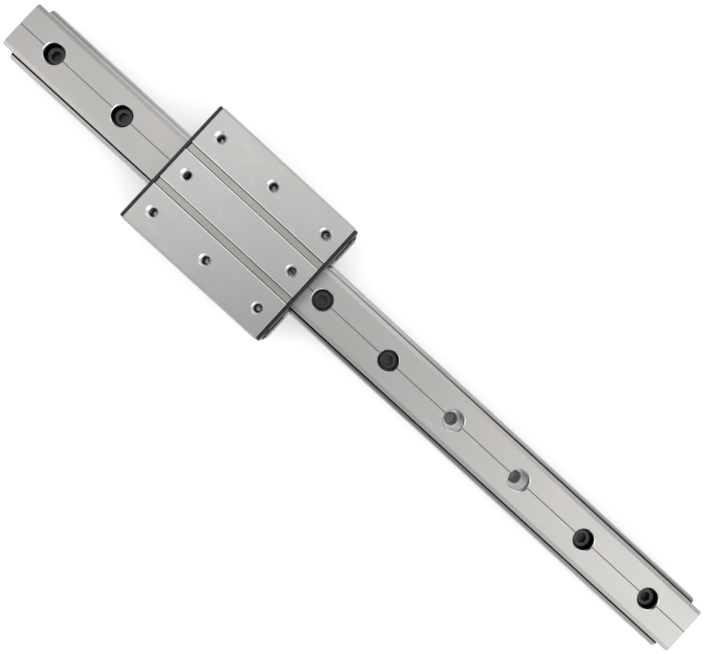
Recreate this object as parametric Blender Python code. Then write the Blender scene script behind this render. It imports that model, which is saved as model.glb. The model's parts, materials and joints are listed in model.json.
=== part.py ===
"""Linear guide: a carriage on four grooved rollers, on an aluminium rail with two steel shafts.

+X runs along the rail, +Y across it and +Z up. The origin is at the middle of the rail's underside.
Front is +X, rear is -X, left is +Y and right is -Y.
"""

import math

import bmesh
import bpy
from mathutils import Matrix

MM = 0.001
GAP = 0.3 * MM  # left between pieces that touch

# Rail
RAIL_LENGTH = 503 * MM
RAIL_HEIGHT = 23 * MM
RAIL_HALF_WIDTH = 14.95 * MM
RAIL_FLAT_HALF = 12.6 * MM  # flat middle of the top face
RAIL_MARGIN_DROP = 0.7 * MM  # fall of the sloping margin on each side of it
RAIL_EDGE = 0.4 * MM
HOLE_COUNT = 10
HOLE_PITCH = 50 * MM
FIRST_HOLE_X = -227 * MM
HOLE_RADIUS = 3.5 * MM
COUNTERBORE_RADIUS = 6.1 * MM
COUNTERBORE_DEPTH = 10 * MM
RIM_CHAMFER = 0.3 * MM
SCREWED_HOLES = (1, 2, 5, 6, 9, 10)

# Shafts in the rail's sides
SHAFT_RADIUS = 3 * MM
SHAFT_Y = 15.45 * MM
SHAFT_Z = 16 * MM
SHAFT_SETBACK = 5 * MM  # from each end of the rail
SHAFT_CHAMFER = 1 * MM

# M6 socket head screws
SCREW_HEAD_RADIUS = 5 * MM
SCREW_HEAD_HEIGHT = 6 * MM
SCREW_RADIUS = 3 * MM
SCREW_LENGTH = 12 * MM
SCREW_SOCKET_ACROSS_FLATS = 5 * MM
SCREW_SOCKET_DEPTH = 3 * MM

# Carriage block
CARRIAGE_X = -87.3 * MM
BLOCK_LENGTH = 96 * MM
BLOCK_HALF_WIDTH = 40.5 * MM
BLOCK_TOP = 35 * MM
BLOCK_BOTTOM = 7.2 * MM
BLOCK_TOP_CHAMFER = 1.6 * MM
BLOCK_FOOT_CHAMFER = 0.5 * MM
CHANNEL_HALF_WIDTH = 17.75 * MM
CHANNEL_TOP = 26.5 * MM
SLOT_BOTTOM = 10.6 * MM
SLOT_TOP = 21.4 * MM
SLOT_OUTER_Y = 38.4 * MM
TOP_GROOVE = (10.2 * MM, 14.9 * MM)
TOP_GROOVE_DEPTH = 1.2 * MM
FOOT_GROOVE = (21.4 * MM, 23.3 * MM)
FOOT_GROOVE_DEPTH = 1 * MM
SIDE_GROOVE = (16.2 * MM, 17.4 * MM)
SIDE_GROOVE_DEPTH = 0.5 * MM
TAPPED_RADIUS = 2.5 * MM
TAPPED_RIM_RADIUS = 3.75 * MM
TAPPED_DEPTH = 11.5 * MM
TAPPED_X = 38.1 * MM
TAPPED_Y = 27 * MM

# Rollers and their bearings
ROLLER_X = 30.7 * MM
ROLLER_Y = 27 * MM
ROLLER_RADIUS = 11 * MM
ROLLER_WIDTH = 10 * MM
ROLLER_EDGE = 0.5 * MM
BALL_RADIUS = 1.3 * MM
BALL_COUNT = 8
PITCH_RADIUS = 5.9 * MM
OUTER_RACE_RADIUS = PITCH_RADIUS + BALL_RADIUS + GAP
INNER_RACE_RADIUS = PITCH_RADIUS - BALL_RADIUS - GAP
BEARING_BORE_RADIUS = 3.3 * MM
INNER_RING_WIDTH = 9.6 * MM
CAGE_RADII = (5.5 * MM, 6.3 * MM)
CAGE_WIDTH = 1.4 * MM
SHIELD_RADII = (INNER_RACE_RADIUS + GAP, OUTER_RACE_RADIUS - GAP)
SHIELD_THICKNESS = 0.5 * MM
SHIELD_INSET = 0.3 * MM

# Roller studs
STUD_RADIUS = 3 * MM
STUD_TIP_RADIUS = 2.2 * MM
STUD_TIP_TOP = 26.9 * MM
COLLAR_RADIUS = 4 * MM
HEX_ACROSS_FLATS = 11 * MM
HEX_HEIGHT = 3.2 * MM
STUD_SOCKET_ACROSS_FLATS = 3 * MM
STUD_SOCKET_DEPTH = 1.8 * MM
ECCENTRICITY = 0.5 * MM
ECCENTRIC_END_RADIUS = 3.2 * MM
NUT_HEIGHT = 2.6 * MM
WASHER_RADIUS = 8 * MM
WASHER_THICKNESS = 1.2 * MM

# End seals, with felt wipers and their screws
SEAL_THICKNESS = 1.8 * MM
SEAL_LEG_THICKNESS = 2.8 * MM
SEAL_STEP_THICKNESS = 2.3 * MM
SEAL_INSET = 0.5 * MM
SEAL_LEG_TOP = 25 * MM
FELT_LENGTH = 6.3 * MM
FELT_OUTSIDE = 3.3 * MM
FELT_HALF_HEIGHT = 3.7 * MM
FELT_OUTER_Y = 22 * MM
SEAL_SCREW_Y = 33.5 * MM
SEAL_SCREW_Z = 28 * MM
SEAL_SCREW_HEAD_RADIUS = 2.2 * MM
SEAL_SCREW_HEAD_HEIGHT = 1 * MM
SEAL_SCREW_RADIUS = 1.4 * MM
SEAL_SCREW_LENGTH = 7 * MM

LARGE_ROUND = 20  # sides of a round piece
MIDDLE_ROUND = 16
SMALL_ROUND = 12
TURN_TO_X = Matrix.Rotation(math.pi / 2, 4, "Y")


def clear_scene():
    for old in list(bpy.data.objects):
        bpy.data.objects.remove(old, do_unlink=True)


def finish(name, colour, roughness, metallic):
    material = bpy.data.materials.new(name)
    material.use_nodes = True
    shader = material.node_tree.nodes["Principled BSDF"]
    shader.inputs["Base Color"].default_value = (*colour, 1)
    shader.inputs["Roughness"].default_value = roughness
    shader.inputs["Metallic"].default_value = metallic
    return material


def arc(centre_y, centre_z, radius, start, end, steps):
    """Points of an arc, its ends included; the angles are in radians."""
    turns = [start + (end - start) * i / steps for i in range(steps + 1)]
    return [(centre_y + radius * math.cos(t), centre_z + radius * math.sin(t)) for t in turns]


def mirrored(half):
    """Closes a half outline on the +Y side with its mirror image."""
    return half + [(-y, z) for y, z in reversed(half)]


def mesh_of(name, bm):
    bmesh.ops.recalc_face_normals(bm, faces=bm.faces)
    mesh = bpy.data.meshes.new(name)
    bm.to_mesh(mesh)
    bm.free()
    return mesh


def prism(name, outline, low, high, axis="X"):
    """Extrudes an outline between two places on an axis; its two numbers are the other axes in order."""
    place = {
        "X": lambda a, b, c: (c, a, b),
        "Z": lambda a, b, c: (a, b, c),
    }[axis]
    bm = bmesh.new()
    ends = [[bm.verts.new(place(a, b, c)) for a, b in outline] for c in (low, high)]
    for i in range(len(outline)):
        j = (i + 1) % len(outline)
        bm.faces.new((ends[0][i], ends[0][j], ends[1][j], ends[1][i]))
    bm.faces.new(ends[0])
    bm.faces.new(reversed(ends[1]))
    return mesh_of(name, bm)


def box(name, low, high):
    corners = [(low[0], low[1]), (high[0], low[1]), (high[0], high[1]), (low[0], high[1])]
    return prism(name, corners, low[2], high[2], "Z")


def turned(name, profile, sides=LARGE_ROUND):
    """Turns a profile of (radius, height) points about Z. A point at radius 0 ends it on the axis."""
    bm = bmesh.new()
    rings = []
    for radius, height in profile:
        count = sides if radius else 1
        angles = [2 * math.pi * i / sides for i in range(count)]
        rings.append([bm.verts.new((radius * math.cos(t), radius * math.sin(t), height)) for t in angles])
    pairs = list(zip(rings, rings[1:]))
    if profile[0][0]:
        pairs.append((rings[-1], rings[0]))
    for low, high in pairs:
        for i in range(sides):
            j = (i + 1) % sides
            corners = [low[i % len(low)], low[j % len(low)], high[j % len(high)], high[i % len(high)]]
            bm.faces.new(list(dict.fromkeys(corners)))
    return mesh_of(name, bm)


def hexagon(name, across_flats, low, high):
    radius = across_flats / math.sqrt(3)
    corners = [(radius * math.cos(math.pi * i / 3), radius * math.sin(math.pi * i / 3)) for i in range(6)]
    return prism(name, corners, low, high, "Z")


def moved(mesh, x=0.0, y=0.0, z=0.0, turn=None):
    """A copy of a mesh, turned and then moved."""
    copy = mesh.copy()
    copy.transform(Matrix.Translation((x, y, z)) @ (turn or Matrix.Identity(4)))
    return copy


def joined(name, meshes):
    """Puts separate closed meshes in one mesh, to cut with or to add in one go."""
    bm = bmesh.new()
    for mesh in meshes:
        bm.from_mesh(mesh)
    return mesh_of(name, bm)


def combined(mesh, other, operation):
    """The exact Boolean result of two meshes."""
    body = bpy.data.objects.new("body", mesh)
    tool = bpy.data.objects.new("tool", other)
    for item in (body, tool):
        bpy.context.scene.collection.objects.link(item)
    step = body.modifiers.new("boolean", "BOOLEAN")
    step.operation = operation
    step.solver = "EXACT"
    step.object = tool
    result = bpy.data.meshes.new_from_object(body.evaluated_get(bpy.context.evaluated_depsgraph_get()))
    for item in (body, tool):
        bpy.data.objects.remove(item, do_unlink=True)
    return result


def cut(mesh, *tools):
    return combined(mesh, joined("tools", tools), "DIFFERENCE")


def fused(mesh, *others):
    return combined(mesh, joined("others", others), "UNION")


def axis_empty(name, x, y, z, parent=None):
    empty = bpy.data.objects.new(name, None)
    bpy.context.scene.collection.objects.link(empty)
    empty.parent = parent
    empty.location = (x, y, z)
    return empty


def piece(name, mesh, material, parent=None, x=0.0, y=0.0, z=0.0):
    """One named piece of the guide, placed relative to its parent."""
    mesh.materials.clear()
    mesh.materials.append(material)
    mesh.shade_smooth()
    mesh.set_sharp_from_angle(angle=math.radians(30))
    item = bpy.data.objects.new(name, mesh)
    bpy.context.scene.collection.objects.link(item)
    item.parent = parent
    item.location = (x, y, z)
    return item


def hole_x(number):
    """Place of one of the rail's holes, counted from 1 at the rear end."""
    return FIRST_HOLE_X + (number - 1) * HOLE_PITCH


def rail_mesh():
    groove_radius = SHAFT_RADIUS + GAP
    reach = math.acos((RAIL_HALF_WIDTH - SHAFT_Y) / groove_radius)
    shoulder = RAIL_HEIGHT - RAIL_MARGIN_DROP
    half = [(RAIL_HALF_WIDTH - RAIL_EDGE, 0), (RAIL_HALF_WIDTH, RAIL_EDGE)]
    half += arc(SHAFT_Y, SHAFT_Z, groove_radius, -reach, reach - 2 * math.pi, 8)
    half += [(RAIL_HALF_WIDTH, shoulder - RAIL_EDGE), (RAIL_HALF_WIDTH - RAIL_EDGE, shoulder)]
    half += [(RAIL_FLAT_HALF, RAIL_HEIGHT)]
    body = prism("rail", mirrored(half), -RAIL_LENGTH / 2, RAIL_LENGTH / 2)

    floor = RAIL_HEIGHT - COUNTERBORE_DEPTH
    over = 1 * MM
    drill = turned(
        "drill",
        [
            (0, -over),
            (HOLE_RADIUS, -over),
            (HOLE_RADIUS, floor),
            (COUNTERBORE_RADIUS, floor),
            (COUNTERBORE_RADIUS, RAIL_HEIGHT - RIM_CHAMFER),
            (COUNTERBORE_RADIUS + RIM_CHAMFER + over, RAIL_HEIGHT + over),
            (0, RAIL_HEIGHT + over),
        ],
        MIDDLE_ROUND,
    )
    return cut(body, *[moved(drill, x=hole_x(n)) for n in range(1, HOLE_COUNT + 1)])


def shaft_mesh():
    half = RAIL_LENGTH / 2 - SHAFT_SETBACK
    profile = [
        (0, -half),
        (SHAFT_RADIUS - SHAFT_CHAMFER, -half),
        (SHAFT_RADIUS, -half + SHAFT_CHAMFER),
        (SHAFT_RADIUS, half - SHAFT_CHAMFER),
        (SHAFT_RADIUS - SHAFT_CHAMFER, half),
        (0, half),
    ]
    return moved(turned("shaft", profile), turn=TURN_TO_X)


def rail_screw_mesh():
    """A socket head screw whose head rests at z = 0."""
    edge = 0.4 * MM
    profile = [
        (0, -SCREW_LENGTH),
        (SCREW_RADIUS, -SCREW_LENGTH),
        (SCREW_RADIUS, 0),
        (SCREW_HEAD_RADIUS, 0),
        (SCREW_HEAD_RADIUS, SCREW_HEAD_HEIGHT - edge),
        (SCREW_HEAD_RADIUS - edge, SCREW_HEAD_HEIGHT),
        (0, SCREW_HEAD_HEIGHT),
    ]
    socket_floor = SCREW_HEAD_HEIGHT - SCREW_SOCKET_DEPTH
    socket = hexagon("socket", SCREW_SOCKET_ACROSS_FLATS, socket_floor, SCREW_HEAD_HEIGHT + 1 * MM)
    return cut(turned("screw", profile), socket)


def block_profile():
    """Half of the extruded section, from the middle of the channel round to the middle of the top."""
    lip_edge = 0.4 * MM
    return mirrored(
        [
            (CHANNEL_HALF_WIDTH, CHANNEL_TOP),
            (CHANNEL_HALF_WIDTH, SLOT_TOP),
            (SLOT_OUTER_Y, SLOT_TOP),
            (SLOT_OUTER_Y, SLOT_BOTTOM),
            (CHANNEL_HALF_WIDTH, SLOT_BOTTOM),
            (CHANNEL_HALF_WIDTH, BLOCK_BOTTOM + lip_edge),
            (CHANNEL_HALF_WIDTH + lip_edge, BLOCK_BOTTOM),
            (FOOT_GROOVE[0], BLOCK_BOTTOM),
            (FOOT_GROOVE[0], BLOCK_BOTTOM + FOOT_GROOVE_DEPTH),
            (FOOT_GROOVE[1], BLOCK_BOTTOM + FOOT_GROOVE_DEPTH),
            (FOOT_GROOVE[1], BLOCK_BOTTOM),
            (BLOCK_HALF_WIDTH - BLOCK_FOOT_CHAMFER, BLOCK_BOTTOM),
            (BLOCK_HALF_WIDTH, BLOCK_BOTTOM + BLOCK_FOOT_CHAMFER),
            (BLOCK_HALF_WIDTH, SIDE_GROOVE[0]),
            (BLOCK_HALF_WIDTH - SIDE_GROOVE_DEPTH, SIDE_GROOVE[0]),
            (BLOCK_HALF_WIDTH - SIDE_GROOVE_DEPTH, SIDE_GROOVE[1]),
            (BLOCK_HALF_WIDTH, SIDE_GROOVE[1]),
            (BLOCK_HALF_WIDTH, BLOCK_TOP - BLOCK_TOP_CHAMFER),
            (BLOCK_HALF_WIDTH - BLOCK_TOP_CHAMFER, BLOCK_TOP),
            (TOP_GROOVE[1], BLOCK_TOP),
            (TOP_GROOVE[1], BLOCK_TOP - TOP_GROOVE_DEPTH),
            (TOP_GROOVE[0], BLOCK_TOP - TOP_GROOVE_DEPTH),
            (TOP_GROOVE[0], BLOCK_TOP),
        ]
    )


def tapped_drill(depth):
    """Cutter for a tapped hole with a countersunk rim, its mouth in the carriage's top face."""
    over = 1 * MM
    sink = TAPPED_RIM_RADIUS - TAPPED_RADIUS
    return turned(
        "tapped",
        [
            (0, BLOCK_TOP - depth),
            (TAPPED_RADIUS, BLOCK_TOP - depth),
            (TAPPED_RADIUS, BLOCK_TOP - sink),
            (TAPPED_RIM_RADIUS + over, BLOCK_TOP + over),
            (0, BLOCK_TOP + over),
        ],
        MIDDLE_ROUND,
    )


def plain_drill(radius, low, high):
    return turned("drill", [(0, low), (radius, low), (radius, high), (0, high)], SMALL_ROUND)


def eccentric_centre(side, end_sign):
    """Place of a stud's turning axis on the carriage. Only the right-hand studs are eccentric."""
    offset = ECCENTRICITY if side < 0 else 0.0
    return end_sign * ROLLER_X + offset, side * ROLLER_Y


def block_mesh():
    body = prism("block", block_profile(), -BLOCK_LENGTH / 2, BLOCK_LENGTH / 2)
    blind = tapped_drill(TAPPED_DEPTH)
    through = tapped_drill(BLOCK_TOP - CHANNEL_TOP + 1 * MM)
    tools = [moved(blind, x=x, y=y) for x in (-TAPPED_X, 0, TAPPED_X) for y in (-TAPPED_Y, TAPPED_Y)]
    tools += [moved(through, x=x) for x in (-TAPPED_X, TAPPED_X)]
    lip_hole = plain_drill(COLLAR_RADIUS + GAP, BLOCK_BOTTOM - 1 * MM, SLOT_BOTTOM + 1 * MM)
    tip_hole = plain_drill(STUD_TIP_RADIUS + GAP, SLOT_TOP - 1 * MM, STUD_TIP_TOP + GAP)
    for side in (-1, 1):
        for end_sign in (-1, 1):
            x, y = eccentric_centre(side, end_sign)
            tools += [moved(lip_hole, x=x, y=y), moved(tip_hole, x=x, y=y)]
    screw_hole = plain_drill(SEAL_SCREW_RADIUS + GAP, -1 * MM, SEAL_SCREW_LENGTH)
    for end_sign in (-1, 1):
        turn = Matrix.Rotation(-end_sign * math.pi / 2, 4, "Y")
        for side in (-1, 1):
            y = side * SEAL_SCREW_Y
            tools.append(moved(screw_hole, end_sign * BLOCK_LENGTH / 2, y, SEAL_SCREW_Z, turn))
    return cut(body, *tools)


def stud_profile(end_radius, end_low, journal_offset):
    """A stud's pieces on its turning axis: the end below the leg, the collar and the tip."""
    collar_top = SLOT_BOTTOM + GAP
    shank = turned(
        "shank",
        [
            (0, end_low),
            (end_radius, end_low),
            (end_radius, BLOCK_BOTTOM),
            (COLLAR_RADIUS, BLOCK_BOTTOM),
            (COLLAR_RADIUS, collar_top),
            (0, collar_top),
        ],
    )
    journal = turned(
        "journal",
        [
            (0, collar_top - 1 * MM),
            (STUD_RADIUS, collar_top - 1 * MM),
            (STUD_RADIUS, SLOT_TOP - GAP),
            (0, SLOT_TOP - GAP),
        ],
    )
    tip = turned(
        "tip",
        [
            (0, SLOT_TOP - 2 * MM),
            (STUD_TIP_RADIUS, SLOT_TOP - 2 * MM),
            (STUD_TIP_RADIUS, STUD_TIP_TOP),
            (0, STUD_TIP_TOP),
        ],
        SMALL_ROUND,
    )
    return fused(fused(shank, moved(journal, x=-journal_offset)), tip)


def concentric_stud_mesh():
    """A stud with a hexagon head under the washer. Its z is the guide's z."""
    head_top = BLOCK_BOTTOM - GAP - WASHER_THICKNESS - GAP
    head_low = head_top - HEX_HEIGHT
    body = stud_profile(ECCENTRIC_END_RADIUS, head_low + 1 * MM, 0.0)
    body = fused(body, hexagon("head", HEX_ACROSS_FLATS, head_low, head_top))
    socket = hexagon("socket", STUD_SOCKET_ACROSS_FLATS, head_low - 1 * MM, head_low + STUD_SOCKET_DEPTH)
    return cut(body, socket)


def eccentric_stud_mesh():
    """A stud whose journal is off its turning axis, with a plain end for a lock nut."""
    low = BLOCK_BOTTOM - 2 * GAP - WASHER_THICKNESS - HEX_HEIGHT
    body = stud_profile(ECCENTRIC_END_RADIUS, low, ECCENTRICITY)
    socket = hexagon("socket", STUD_SOCKET_ACROSS_FLATS, low - 1 * MM, low + STUD_SOCKET_DEPTH)
    return cut(body, socket)


def lock_nut_mesh():
    top = BLOCK_BOTTOM - 2 * GAP - WASHER_THICKNESS
    bore = plain_drill(ECCENTRIC_END_RADIUS + GAP, top - NUT_HEIGHT - 1 * MM, top + 1 * MM)
    return cut(hexagon("nut", HEX_ACROSS_FLATS, top - NUT_HEIGHT, top), bore)


def ring(name, inner, outer, low, high, sides=LARGE_ROUND):
    return turned(name, [(inner, low), (outer, low), (outer, high), (inner, high)], sides)


def roller_mesh():
    """The grooved outer ring, centred on the shaft's height."""
    half = ROLLER_WIDTH / 2
    groove_radius = SHAFT_RADIUS + GAP
    centre = ROLLER_Y - SHAFT_Y
    reach = math.acos((centre - ROLLER_RADIUS) / groove_radius)
    groove = arc(centre, 0, groove_radius, math.pi + reach, math.pi - reach, 4)
    outside = [(ROLLER_RADIUS - ROLLER_EDGE, -half), (ROLLER_RADIUS, -half + ROLLER_EDGE)]
    outside += groove
    outside += [(ROLLER_RADIUS, half - ROLLER_EDGE), (ROLLER_RADIUS - ROLLER_EDGE, half)]
    inside = [(OUTER_RACE_RADIUS, half), (OUTER_RACE_RADIUS, -half)]
    return turned("roller", outside + inside)


def inner_ring_mesh():
    half = INNER_RING_WIDTH / 2
    return ring("inner_ring", BEARING_BORE_RADIUS, INNER_RACE_RADIUS, -half, half)


def ball_cage_mesh():
    """The balls and the cage that spaces them, as one piece."""
    band = ring("cage", CAGE_RADII[0], CAGE_RADII[1], -CAGE_WIDTH / 2, CAGE_WIDTH / 2, MIDDLE_ROUND)
    outline = arc(0, 0, BALL_RADIUS, -math.pi / 2, math.pi / 2, 4)
    outline = [(0, -BALL_RADIUS)] + outline[1:-1] + [(0, BALL_RADIUS)]
    ball = turned("ball", outline, 6)
    balls = []
    for i in range(BALL_COUNT):
        angle = 2 * math.pi * (i + 0.5) / BALL_COUNT
        balls.append(moved(ball, PITCH_RADIUS * math.cos(angle), PITCH_RADIUS * math.sin(angle)))
    return fused(band, *balls)


def seal_mesh(outward):
    """An end seal on the face of the block that looks along outward (+1 or -1), in the block's frame."""
    low, top = BLOCK_BOTTOM + SEAL_INSET, BLOCK_TOP - SEAL_INSET
    side, corner = BLOCK_HALF_WIDTH - SEAL_INSET, 1 * MM
    clear = 0.7 * MM
    half = [
        (RAIL_FLAT_HALF + clear, RAIL_HEIGHT + clear),
        (RAIL_HALF_WIDTH + clear, RAIL_HEIGHT - clear),
        (RAIL_HALF_WIDTH + clear, SHAFT_Z + FELT_HALF_HEIGHT + GAP),
        (CHANNEL_HALF_WIDTH, SHAFT_Z + FELT_HALF_HEIGHT + GAP),
        (CHANNEL_HALF_WIDTH, low),
        (side - corner, low),
        (side, low + corner),
        (side, top - corner),
        (side - corner, top),
    ]
    face = BLOCK_LENGTH / 2 + GAP
    ends = sorted((outward * face, outward * (face + SEAL_THICKNESS)))
    plate = prism("plate", mirrored(half), *ends)

    inner, step, outer = CHANNEL_HALF_WIDTH, FOOT_GROOVE[0], side - 1.3 * MM
    base = face + SEAL_THICKNESS / 2
    leg = [
        (outward * base, inner),
        (outward * (face + SEAL_STEP_THICKNESS), inner),
        (outward * (face + SEAL_STEP_THICKNESS), step),
        (outward * (face + SEAL_LEG_THICKNESS), step),
        (outward * (face + SEAL_LEG_THICKNESS), outer - corner),
        (outward * (face + SEAL_LEG_THICKNESS) - outward * corner, outer),
        (outward * base, outer),
    ]
    legs = [prism("leg", [(x, s * y) for x, y in leg], low + corner / 2, SEAL_LEG_TOP, "Z") for s in (-1, 1)]
    body = fused(plate, *legs)

    reach = 10 * MM
    notch_inner, notch_outer = RAIL_HALF_WIDTH - 1 * MM, FELT_OUTER_Y + GAP
    notch_half = FELT_HALF_HEIGHT + GAP
    tools = []
    for s in (-1, 1):
        y_low, y_high = sorted((s * notch_inner, s * notch_outer))
        x_low, x_high = sorted((outward * (face - reach), outward * (face + reach)))
        tools.append(box("notch", (x_low, y_low, SHAFT_Z - notch_half), (x_high, y_high, SHAFT_Z + notch_half)))
        hole = plain_drill(SEAL_SCREW_RADIUS + GAP, -reach, reach)
        tools.append(moved(hole, outward * face, s * SEAL_SCREW_Y, SEAL_SCREW_Z, TURN_TO_X))
    return cut(body, *tools)


def felt_mesh(side):
    """A felt wiper beside one shaft, its middle at x = 0."""
    radius = SHAFT_RADIUS + GAP + 0.05 * MM
    inner = 17.4 * MM
    reach = math.acos((inner - SHAFT_Y) / radius)
    outline = [(inner, SHAFT_Z - FELT_HALF_HEIGHT)]
    outline += arc(SHAFT_Y, SHAFT_Z, radius, -reach, reach, 6)
    outline += [
        (inner, SHAFT_Z + FELT_HALF_HEIGHT),
        (FELT_OUTER_Y, SHAFT_Z + FELT_HALF_HEIGHT),
        (FELT_OUTER_Y, SHAFT_Z - FELT_HALF_HEIGHT),
    ]
    return prism("felt", [(side * y, z) for y, z in outline], -FELT_LENGTH / 2, FELT_LENGTH / 2)


def seal_screw_mesh():
    """A seal screw along Z, its head resting at z = 0 and its shank below."""
    tip = -(SEAL_SCREW_LENGTH - GAP + SEAL_THICKNESS - 1 * MM)
    profile = [
        (0, tip),
        (SEAL_SCREW_RADIUS, tip),
        (SEAL_SCREW_RADIUS, 0),
        (SEAL_SCREW_HEAD_RADIUS, 0),
        (SEAL_SCREW_HEAD_RADIUS, SEAL_SCREW_HEAD_HEIGHT / 2),
        (SEAL_SCREW_HEAD_RADIUS * 0.7, SEAL_SCREW_HEAD_HEIGHT),
        (0, SEAL_SCREW_HEAD_HEIGHT),
    ]
    return turned("seal_screw", profile, SMALL_ROUND)


def make_rail(aluminium, steel, black):
    piece("rail_extrusion", rail_mesh(), aluminium)
    shaft = shaft_mesh()
    piece("shaft_left", shaft, steel, y=SHAFT_Y, z=SHAFT_Z)
    piece("shaft_right", shaft, steel, y=-SHAFT_Y, z=SHAFT_Z)
    screw = rail_screw_mesh()
    head_rest = RAIL_HEIGHT - COUNTERBORE_DEPTH + GAP
    for number in SCREWED_HOLES:
        piece(f"rail_screw_{number}", screw, black, x=hole_x(number), z=head_rest)


def make_carriage(aluminium, black, felt_white):
    carriage = axis_empty("carriage_slide", CARRIAGE_X, 0, 0)
    piece("carriage_block", block_mesh(), aluminium, carriage)
    screw = seal_screw_mesh()
    for end, end_sign in (("front", 1), ("rear", -1)):
        piece(f"end_seal_{end}", seal_mesh(end_sign), black, carriage)
        face = BLOCK_LENGTH / 2 + GAP
        turn = Matrix.Rotation(end_sign * math.pi / 2, 4, "Y")
        turned_screw = moved(screw, turn=turn)
        for side, side_sign in (("left", 1), ("right", -1)):
            felt_x = end_sign * (face + FELT_OUTSIDE - FELT_LENGTH / 2)
            piece(f"felt_wiper_{end}_{side}", felt_mesh(side_sign), felt_white, carriage, x=felt_x)
            head_x = end_sign * (face + SEAL_THICKNESS + GAP)
            y = side_sign * SEAL_SCREW_Y
            piece(f"seal_screw_{end}_{side}", turned_screw, black, carriage, head_x, y, SEAL_SCREW_Z)
    return carriage


def make_rollers(carriage, steel, black, zinc):
    """The four rollers, with their bearings, studs and washers."""
    roller, inner, cage = roller_mesh(), inner_ring_mesh(), ball_cage_mesh()
    concentric, eccentric, nut = concentric_stud_mesh(), eccentric_stud_mesh(), lock_nut_mesh()
    washer_top = BLOCK_BOTTOM - GAP
    washer = ring("washer", COLLAR_RADIUS, WASHER_RADIUS, washer_top - WASHER_THICKNESS, washer_top)
    half = SHIELD_THICKNESS / 2
    shield = ring("shield", SHIELD_RADII[0], SHIELD_RADII[1], -half, half, MIDDLE_ROUND)
    shield_z = ROLLER_WIDTH / 2 - SHIELD_INSET - SHIELD_THICKNESS / 2
    for end, end_sign in (("front", 1), ("rear", -1)):
        for side, side_sign in (("left", 1), ("right", -1)):
            place = f"{end}_{side}"
            x, y = eccentric_centre(side_sign, end_sign)
            stud_axis = axis_empty(f"stud_axis_{place}", x, y, 0, carriage)
            offset = end_sign * ROLLER_X - x
            roller_axis = axis_empty(f"roller_axis_{place}", offset, 0, SHAFT_Z, stud_axis)
            if side_sign > 0:
                piece(f"stud_{place}", concentric, black, stud_axis)
            else:
                piece(f"eccentric_stud_{place}", eccentric, black, stud_axis)
                piece(f"lock_nut_{place}", nut, black, stud_axis)
            piece(f"washer_{place}", washer, zinc, stud_axis)
            piece(f"roller_{place}", roller, steel, roller_axis)
            piece(f"inner_ring_{place}", inner, steel, roller_axis)
            piece(f"ball_cage_{place}", cage, steel, roller_axis)
            piece(f"shield_top_{place}", shield, steel, roller_axis, z=shield_z)
            piece(f"shield_bottom_{place}", shield, steel, roller_axis, z=-shield_z)


def main():
    clear_scene()
    aluminium = finish("blasted_aluminium", (0.62, 0.62, 0.60), 0.42, 0.9)
    rail_aluminium = finish("anodised_aluminium", (0.66, 0.65, 0.63), 0.38, 0.9)
    steel = finish("ground_steel", (0.52, 0.52, 0.51), 0.25, 1.0)
    black_oxide = finish("black_oxide_steel", (0.03, 0.03, 0.035), 0.4, 0.6)
    seal_black = finish("black_plastic", (0.02, 0.02, 0.022), 0.5, 0.0)
    felt_white = finish("white_felt", (0.75, 0.73, 0.68), 0.95, 0.0)
    zinc = finish("zinc_plated_steel", (0.7, 0.7, 0.68), 0.3, 1.0)
    make_rail(rail_aluminium, steel, black_oxide)
    carriage = make_carriage(aluminium, seal_black, felt_white)
    make_rollers(carriage, steel, black_oxide, zinc)


main()
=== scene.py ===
import json
import math

import bmesh
import bpy
from mathutils import Matrix, Vector


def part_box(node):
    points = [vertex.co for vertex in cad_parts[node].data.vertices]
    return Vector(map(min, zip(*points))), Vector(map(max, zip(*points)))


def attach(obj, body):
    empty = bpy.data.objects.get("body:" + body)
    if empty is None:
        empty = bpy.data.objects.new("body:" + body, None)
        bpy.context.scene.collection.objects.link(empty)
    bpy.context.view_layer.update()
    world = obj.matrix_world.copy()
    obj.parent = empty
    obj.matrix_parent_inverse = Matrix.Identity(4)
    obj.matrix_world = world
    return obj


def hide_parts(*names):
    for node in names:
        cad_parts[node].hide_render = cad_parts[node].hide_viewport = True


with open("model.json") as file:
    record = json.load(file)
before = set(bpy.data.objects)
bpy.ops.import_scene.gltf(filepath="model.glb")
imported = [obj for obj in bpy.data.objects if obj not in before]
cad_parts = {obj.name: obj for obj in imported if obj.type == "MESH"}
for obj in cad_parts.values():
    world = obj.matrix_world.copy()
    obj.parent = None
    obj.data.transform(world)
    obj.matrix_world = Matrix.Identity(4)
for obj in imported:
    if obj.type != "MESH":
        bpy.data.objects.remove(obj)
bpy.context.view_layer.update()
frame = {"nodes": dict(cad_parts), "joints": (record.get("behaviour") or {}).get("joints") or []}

MM = 0.001

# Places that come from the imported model
RAIL_LOW, RAIL_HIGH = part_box("rail_extrusion")
BLOCK_LOW, BLOCK_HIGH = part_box("carriage_block")
SHAFT_LOW, SHAFT_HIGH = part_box("shaft_left")
CARRIAGE_X = (BLOCK_LOW.x + BLOCK_HIGH.x) / 2
ENDS = {"front": 1, "rear": -1}
SIDES = {"left": 1, "right": -1}
JOINTS = {joint["name"]: joint for joint in frame["joints"]}

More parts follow.
